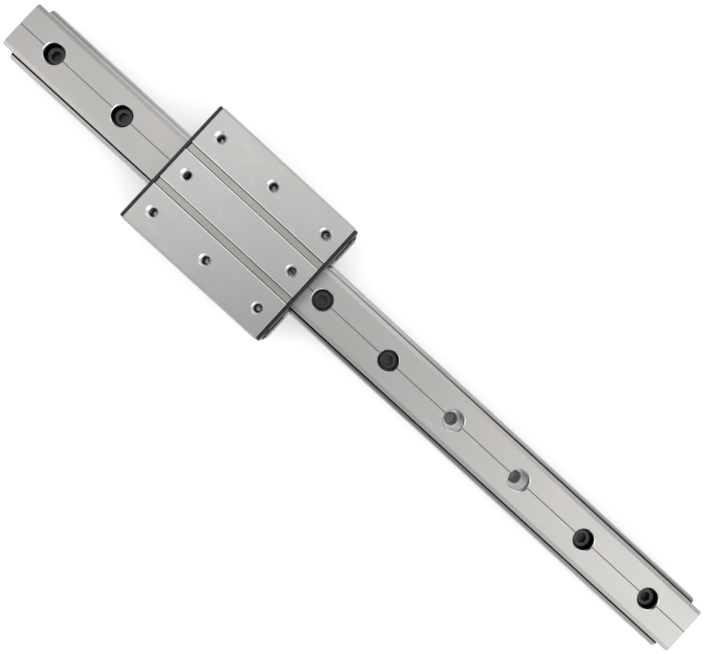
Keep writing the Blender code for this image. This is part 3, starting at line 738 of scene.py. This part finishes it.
def make_block(aluminium, cut_metal):
    body = finished(prism("block", block_profile(), BLOCK_LOW.x, BLOCK_HIGH.x), aluminium)
    body = eased(body, 0.25 * MM, 2, 40)
    blind, through = tapped_drill(False), tapped_drill(True)
    tools = [moved(blind, CARRIAGE_X + x, y) for x in (-TAPPED_X, 0, TAPPED_X) for y in (-TAPPED_Y, TAPPED_Y)]
    tools += [moved(through, CARRIAGE_X + x) for x in (-TAPPED_X, TAPPED_X)]
    lip_hole = plain_drill(LIP_HOLE_RADIUS, BLOCK_LOW.z - OVERCUT, SLOT[0] + OVERCUT)
    tip_hole = plain_drill(TIP_HOLE_RADIUS, SLOT[1] - OVERCUT, TIP_HOLE_TOP)
    screw_hole = plain_drill(SEAL_HOLE_RADIUS, -OVERCUT, SEAL_HOLE_DEPTH, 24)
    for end in ENDS:
        for side in SIDES:
            place = stud_place(end, side)
            tools += [moved(lip_hole, place.x, place.y), moved(tip_hole, place.x, place.y)]
            low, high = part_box(f"seal_screw_{end}_{side}")
            middle = (low + high) / 2
            turn = Matrix.Rotation(-ENDS[end] * math.pi / 2, 4, "Y")
            face = BLOCK_HIGH.x if ENDS[end] > 0 else BLOCK_LOW.x
            tools.append(moved(screw_hole, face, middle.y, middle.z, turn))
    body = cut(body, *tools, finish=cut_metal)
    piece("carriage_plate", body, aluminium, "carriage", ["carriage_block"])


def make_seals(plastic, felt, black):
    for end, way in ENDS.items():
        node = f"end_seal_{end}"
        seal = eased(cad_outline(node), 0.25 * MM, 2, 40)
        piece(f"wiper_seal_{end}", seal, plastic, "carriage", [node])
        for side in SIDES:
            node = f"felt_wiper_{end}_{side}"
            pad = eased(cad_outline(node), 0.3 * MM, 2, 50)
            piece(f"felt_pad_{end}_{side}", pad, felt, "carriage", [node])
            node = f"seal_screw_{end}_{side}"
            low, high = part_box(node)
            middle = (low + high) / 2
            length = high.x - low.x
            mesh = moved(seal_screw_mesh(length), turn=Matrix.Rotation(way * math.pi / 2, 4, "Y"))
            piece(f"pan_screw_{end}_{side}", mesh, black, "carriage", [node], middle)


def seal_screw_mesh(length):
    """A small pan head screw along Z, its middle at the origin and its head at the top."""
    top, head, radius, head_radius = length / 2, 1 * MM, 1.4 * MM, 2.2 * MM
    rest = top - head
    crown = [(head_radius * math.cos(t), rest + 0.2 * MM + (head - 0.2 * MM) * math.sin(t))
             for t in [math.pi / 2 * i / 8 for i in range(8)]]
    thread = threaded(radius - 0.25 * MM, -top + 0.4 * MM, rest, 0.25 * MM, 0.5 * MM)
    profile = [(0, -top), (radius - 0.4 * MM, -top)] + thread + [(head_radius, rest)] + crown + [(0, top)]
    return cut(turned("pan_screw", profile, 48), hexagon("socket", 2 * MM, top - 0.7 * MM, top + 1 * MM))


def hex_body(across_flats, low, high):
    """A hexagon whose corners are turned off at its free, lower end."""
    corner = across_flats / math.sqrt(3)
    crown = [(0, low), (across_flats / 2 * 0.97, low), (corner + 0.2 * MM, low + 1.1 * MM)]
    cone = turned("crown", crown + [(corner + 0.2 * MM, high + 1 * MM), (0, high + 1 * MM)])
    return combined(hexagon("hex", across_flats, low, high), cone, "INTERSECT")


def make_studs(black, zinc):
    """Concentric studs on the left, eccentric studs with lock nuts on the right, washers under all."""
    foot, collar, tip, ease = STUD_END_RADIUS, STUD_COLLAR_RADIUS, STUD_TIP_RADIUS, 0.3 * MM
    collar_top = SLOT[0] + RUNNING_GAP
    for end in ENDS:
        for side in SIDES:
            place = stud_place(end, side)
            eccentric = side == "right"
            node = f"eccentric_stud_{end}_{side}" if eccentric else f"stud_{end}_{side}"
            low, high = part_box(node)
            washer_low, washer_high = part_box(f"washer_{end}_{side}")
            offset = JOINTS[f"roller_{end}_{side}_spin"]["pos_m"][0] - place.x
            shank = turned("shank", [
                (0, low.z), (foot - ease, low.z), (foot, low.z + ease), (foot, BLOCK_LOW.z),
                (collar, BLOCK_LOW.z), (collar, collar_top), (0, collar_top)])
            seat = plain_drill(STUD_JOURNAL_RADIUS, collar_top - OVERCUT, SLOT[1] - RUNNING_GAP)
            peg_low = SLOT[1] - 2 * MM
            peg = turned("peg", [(0, peg_low), (tip, peg_low), (tip, high.z - ease), (tip - ease, high.z),
                                 (0, high.z)])
            mesh = fused(fused(shank, moved(seat, x=offset)), peg)
            if not eccentric:
                mesh = fused(mesh, hex_body(STUD_FLATS, low.z, washer_low.z - RUNNING_GAP))
            mesh = cut(mesh, hexagon("socket", STUD_SOCKET_FLATS, low.z - OVERCUT, low.z + STUD_SOCKET_DEPTH))
            body = f"eccentric_{end}" if eccentric else "carriage"
            at = (place.x, place.y, 0)
            piece(f"roller_stud_{end}_{side}", mesh, black, body, [node], at)

            radius = (washer_high.x - washer_low.x) / 2
            bore = collar + RUNNING_GAP
            rim = [(bore, washer_low.z), (radius - ease, washer_low.z), (radius, washer_low.z + ease),
                   (radius, washer_high.z), (bore, washer_high.z)]
            piece(f"flat_washer_{end}_{side}", turned("washer", rim), zinc, "carriage",
                  [f"washer_{end}_{side}"], at)
            if eccentric:
                nut_low, nut_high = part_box(f"lock_nut_{end}_{side}")
                nut = cut(hex_body(STUD_FLATS, nut_low.z, nut_high.z),
                          plain_drill(foot + 0.15 * MM, nut_low.z - OVERCUT, nut_high.z + OVERCUT))
                piece(f"hex_nut_{end}_{side}", nut, black, "carriage", [f"lock_nut_{end}_{side}"],
                      at)


def roller_mesh(radius, half, groove_centre):
    """A roller whose round groove runs on the shaft, with its bore eased for the bearing."""
    groove, race = ROLLER_GROOVE_RADIUS, ROLLER_RACE_RADIUS
    edge, ease = 0.5 * MM, 0.2 * MM
    reach = math.acos((groove_centre - radius) / groove)
    profile = [(race + ease, -half)]
    profile += arc(radius - edge, -half + edge, edge, -math.pi / 2, 0, 4)
    profile += arc(groove_centre, 0, groove, math.pi + reach, math.pi - reach, 16)
    profile += arc(radius - edge, half - edge, edge, 0, math.pi / 2, 4)
    profile += [(race + ease, half), (race, half - ease), (race, -half + ease)]
    return turned("roller", profile, 96)


def shield_mesh(inner, outer, way):
    """A pressed steel shield with a raised inner lip; way is the side that it faces."""
    half = 0.25 * MM
    dish = 0.2 * half
    profile = [(inner, -half), (outer, -half), (outer, half), (outer - 0.3 * MM, half),
               (inner + 1.1 * MM, dish), (inner + 0.7 * MM, half), (inner, half)]
    return turned("shield", [(r, way * z) for r, z in profile][::way], 72)


def ball_cage_mesh():
    """A band with the balls set in it."""
    inner, outer = BALL_CIRCLE_RADIUS - 0.4 * MM, BALL_CIRCLE_RADIUS + 0.4 * MM
    half = 0.7 * MM
    band = turned("cage", [(inner, -half), (outer, -half), (outer, half), (inner, half)])
    outline = arc(0, 0, BALL_RADIUS, -math.pi / 2, math.pi / 2, 12)
    ball = turned("ball", [(0, -BALL_RADIUS)] + outline[1:-1] + [(0, BALL_RADIUS)], 24)
    turns = [2 * math.pi * (i + 0.5) / BALL_COUNT for i in range(BALL_COUNT)]
    spots = [(BALL_CIRCLE_RADIUS * math.cos(t), BALL_CIRCLE_RADIUS * math.sin(t)) for t in turns]
    return fused(band, *[moved(ball, x, y) for x, y in spots])


def inner_ring_mesh(half, bore, race):
    ease = 0.25 * MM
    return turned("ring", [
        (bore, -half + ease), (bore + ease, -half), (race - ease, -half), (race, -half + ease),
        (race, half - ease), (race - ease, half), (bore + ease, half), (bore, half - ease)])


def make_rollers(roller_steel, ring_steel, shield_steel):
    shaft_y = (SHAFT_LOW.y + SHAFT_HIGH.y) / 2
    for end in ENDS:
        for side in SIDES:
            place = f"{end}_{side}"
            at = Vector(JOINTS[f"roller_{place}_spin"]["pos_m"])
            low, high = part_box(f"roller_{place}")
            mesh = roller_mesh((high.x - low.x) / 2, (high.z - low.z) / 2, abs(at.y) - shaft_y)
            piece(f"track_roller_{place}", mesh, roller_steel, f"roller_{place}", [f"roller_{place}"],
                  at)
            for name, way in (("top", 1), ("bottom", -1)):
                node = f"shield_{name}_{place}"
                low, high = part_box(node)
                mesh = shield_mesh(SHIELD_BORE_RADIUS, (high.x - low.x) / 2, way)
                piece(f"bearing_{node}", mesh, shield_steel, f"roller_{place}", [node],
                      (at.x, at.y, (low.z + high.z) / 2))
            node = f"inner_ring_{place}"
            low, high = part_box(node)
            ring = inner_ring_mesh((high.z - low.z) / 2, RING_BORE_RADIUS, (high.x - low.x) / 2)
            ring_body = "carriage" if side == "left" else f"eccentric_{end}"
            piece(f"bearing_{node}", ring, ring_steel, ring_body, [node], at)
            node = f"ball_cage_{place}"
            cage = ball_cage_mesh()
            piece(f"bearing_{node}", cage, ring_steel, f"cage_{place}", [node], at)


def make_floor():
    """A white sheet, seen from above only. It glows a little, except where the rail stands.

    The rail's underside lies right on it, so there the sheet lets light through from below.
    """
    look = Nodes("pale_floor", roughness=0.9)
    speckle = look.noise(60 * MM, 2, 0.5)
    look.colour(look.mix(look.ramp(speckle, 0.3, 0.7), (0.93, 0.93, 0.93), (0.95, 0.95, 0.95)))
    look.shader.inputs["Emission Color"].default_value = (1, 1, 1, 1)
    under_rail = look.math("MULTIPLY", look.math("LESS_THAN", look.math("ABSOLUTE", look.y), RAIL_HIGH.y),
                        look.math("LESS_THAN", look.math("ABSOLUTE", look.x), RAIL_HIGH.x))
    look.link(look.ramp(under_rail, 0.0, 1.0, FLOOR_GLOW, 0.0), look.shader.inputs["Emission Strength"])
    touching = look.math("LESS_THAN", look.add("ShaderNodeLightPath").outputs["Ray Length"], FLOOR_TOUCH)
    clear = look.math("MAXIMUM", look.add("ShaderNodeNewGeometry").outputs["Backfacing"],
                   look.math("MULTIPLY", under_rail, touching))
    sheet = look.add("ShaderNodeMixShader")
    look.link(clear, sheet.inputs[0])
    look.link(look.shader.outputs[0], sheet.inputs[1])
    look.link(look.add("ShaderNodeBsdfTransparent").outputs[0], sheet.inputs[2])
    look.link(sheet.outputs[0], look.tree.nodes["Material Output"].inputs["Surface"])
    bm = bmesh.new()
    corners = ((-1, -1), (1, -1), (1, 1), (-1, 1))
    bm.faces.new([bm.verts.new((x * FLOOR_HALF, y * FLOOR_HALF, FLOOR_LEVEL)) for x, y in corners])
    mesh = bpy.data.meshes.new("floor")
    bm.to_mesh(mesh)
    bm.free()
    mesh.materials.append(look.material)
    floor = bpy.data.objects.new("floor", mesh)
    bpy.context.scene.collection.objects.link(floor)


def make_light():
    """Soft studio light: a pale room with wide bright and dim areas, and a plain white background."""
    world = bpy.data.worlds.new("studio")
    bpy.context.scene.world = world
    world.use_nodes = True
    tree = world.node_tree
    background = tree.nodes["Background"]

    def maths(operation, first, second):
        node = tree.nodes.new("ShaderNodeMath")
        node.operation = operation
        for socket, value in zip(node.inputs, (first, second)):
            if isinstance(value, (int, float)):
                socket.default_value = value
            else:
                tree.links.new(value, socket)
        return node.outputs[0]

    direction = tree.nodes.new("ShaderNodeTexCoord").outputs["Generated"]
    split = tree.nodes.new("ShaderNodeSeparateXYZ")
    tree.links.new(direction, split.inputs[0])
    along, across = split.outputs[0], split.outputs[1]
    level = ROOM_LEVEL
    for x, y, width, strength in SOFT_AREAS:
        off_x = maths("DIVIDE", maths("SUBTRACT", along, x), width)
        off_y = maths("DIVIDE", maths("SUBTRACT", across, y), width)
        square = maths("ADD", maths("MULTIPLY", off_x, off_x), maths("MULTIPLY", off_y, off_y))
        area = maths("POWER", math.e, maths("MULTIPLY", square, -1.0))
        level = maths("ADD", level, maths("MULTIPLY", area, strength))
    level = maths("MULTIPLY", maths("MAXIMUM", level, LEAST_LEVEL), LIGHT_STRENGTH)
    seen = tree.nodes.new("ShaderNodeLightPath").outputs["Is Camera Ray"]
    lit = maths("MULTIPLY", level, maths("SUBTRACT", 1.0, seen))
    tree.links.new(maths("ADD", lit, seen), background.inputs["Strength"])
    background.inputs["Color"].default_value = (1.0, 1.0, 1.0, 1)


def make_camera():
    """Looks almost straight down from above the rail, which runs to the lower right of the picture."""
    data = bpy.data.cameras.new("camera")
    data.sensor_width = 36
    data.lens = 34.8
    data.clip_start = 0.01
    camera = bpy.data.objects.new("camera", data)
    bpy.context.scene.collection.objects.link(camera)
    rail_slope = math.radians(42.54)
    pitch, roll = -0.032, 0.003
    across_frame = Matrix(((math.cos(rail_slope), math.sin(rail_slope), 0),
                           (math.sin(rail_slope), -math.cos(rail_slope), 0),
                           (0, 0, -1)))
    tilt = Matrix.Rotation(roll, 3, "X") @ Matrix.Rotation(pitch, 3, "Y")
    right, down, forward = tilt @ across_frame
    turn = Matrix((right, -down, -forward)).transposed()
    place = Vector((-14.4 * MM, -7.3 * MM, 402.2 * MM))
    camera.matrix_world = Matrix.Translation(place) @ turn.to_4x4()
    bpy.context.scene.camera = camera


def main():
    rail_metal, block_metal = rail_aluminium(), blasted_aluminium()
    shaft_metals = {"left": ground_steel("left", 1, -60 * MM, 100 * MM),
                    "right": ground_steel("right", -1, RAIL_LOW.x - 200 * MM, RAIL_LOW.x)}
    black, plastic, felt, zinc = black_oxide(), seal_plastic(), wool_felt(), zinc_plate()
    roller_steel = round_steel("roller_steel", (0.60, 0.60, 0.59), (0.46, 0.46, 0.45), 0.16)
    ring_steel = round_steel("ring_steel", (0.58, 0.58, 0.58), (0.48, 0.48, 0.48), 0.10)
    shield_steel = round_steel("shield_steel", (0.50, 0.50, 0.50), (0.40, 0.40, 0.40), 0.25)
    make_rail(rail_metal, machined("cut_rail", RAIL_HIGH.z, 0.60, True), shaft_metals)
    make_rail_screws(black)
    make_block(block_metal, machined("cut_block", BLOCK_HIGH.z, 0.50, False))
    make_seals(plastic, felt, black)
    make_studs(black, zinc)
    make_rollers(roller_steel, ring_steel, shield_steel)
    make_floor()
    make_light()
    make_camera()
    bpy.context.scene.view_settings.view_transform = "Standard"


main()
